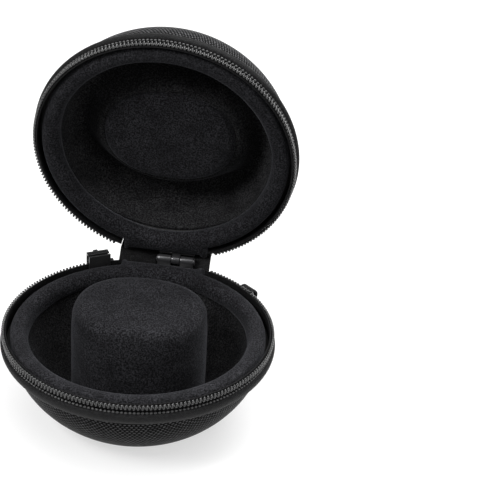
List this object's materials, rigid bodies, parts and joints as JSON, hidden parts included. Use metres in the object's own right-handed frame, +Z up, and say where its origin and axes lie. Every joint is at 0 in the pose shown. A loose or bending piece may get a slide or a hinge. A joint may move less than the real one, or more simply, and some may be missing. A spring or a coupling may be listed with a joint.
{
  "type": "watch travel case",
  "caption": "Round zipped hard-shell travel case for a wristwatch, hinged lid open over a padded post, with a slider pull and a clip.",
  "frame": {"origin": "centre of the flat foot on the floor, under the middle of the base", "axes": "+X along the hinge to the right, +Y to the rear where the hinge is, +Z up"},
  "size_m": [0.108, 0.1404, 0.1432],
  "materials": {
    "woven_nylon": "coarse ballistic weave, slight gloss",
    "fine_nylon": "fine plain weave",
    "velour": "brushed velour",
    "foam": "closed-cell moulded foam",
    "zip_tape": "woven tape",
    "zip_coil": "gloss nylon coil",
    "hinge_metal": "gloss black",
    "slider_metal": "black nickel",
    "pull_rubber": "matt moulded rubber",
    "webbing": "narrow woven webbing",
    "carabiner_metal": "gloss black enamel",
    "spring_steel": "darkened steel"
  },
  "bodies": {
    "base": {"base_cover": "woven_nylon", "base_shell": "foam", "base_lining": "velour", "base_rim_foam": "foam", "base_rim_velour": "velour", "base_edge_band": "fine_nylon", "base_zip_tape": "zip_tape", "base_zip_coil": "zip_coil", "post_core": "foam", "post_sleeve": "velour", "hinge_base_leaf": "hinge_metal", "hinge_pin": "hinge_metal", "spine_lower": "fine_nylon", "spine_tab": "fine_nylon", "zip_stop_left": "zip_coil", "zip_stop_right": "zip_coil", "webbing_loop": "webbing"},
    "lid": {"lid_cover": "woven_nylon", "lid_shell": "foam", "lid_lining": "velour", "lid_rim_foam": "foam", "lid_rim_velour": "velour", "lid_edge_band": "fine_nylon", "lid_zip_tape": "zip_tape", "lid_zip_coil": "zip_coil", "lid_pillow": "velour", "hinge_lid_leaf": "hinge_metal", "spine_upper": "fine_nylon"},
    "slider": {"slider_body": "slider_metal", "slider_bridge": "slider_metal"},
    "link": {"pull_link": "slider_metal"},
    "tab": {"pull_tab": "pull_rubber"},
    "carabiner": {"carabiner_frame": "carabiner_metal", "gate_pin": "spring_steel", "gate_spring": "spring_steel"},
    "gate": {"carabiner_gate": "carabiner_metal"}
  },
  "joints": [
    {"name": "lid_hinge", "type": "hinge", "parent": "base", "child": "lid", "pos_m": [0, 0.0534, 0.0365], "axis": [1, 0, 0], "range_deg": [0, 80]},
    {"name": "slider_travel", "type": "hinge", "parent": "base", "child": "slider", "pos_m": [0, 0, 0.0365], "axis": [0, 0, 1], "range_deg": [0, 276]},
    {"name": "link_swing", "type": "hinge", "parent": "slider", "child": "link", "pos_m": [-0.02791, 0.04834, 0.0365], "axis": [0.866, 0.5, 0], "range_deg": [-3, 70]},
    {"name": "tab_swing", "type": "hinge", "parent": "link", "child": "tab", "pos_m": [-0.02791, 0.04834, 0.0289], "axis": [0.866, 0.5, 0], "range_deg": [-20, 60]},
    {"name": "carabiner_swing", "type": "hinge", "parent": "base", "child": "carabiner", "pos_m": [0.03677, 0.04382, 0.0303], "axis": [0.766, -0.6428, 0], "range_deg": [-8, 130]},
    {"name": "gate_swing", "type": "hinge", "parent": "carabiner", "child": "gate", "pos_m": [0.03255, 0.04735, 0.0086], "axis": [0.6428, 0.766, 0], "range_deg": [0, 28], "stiffness_Nm_per_rad": 0.004, "springref_deg": -17.19}
  ]
}
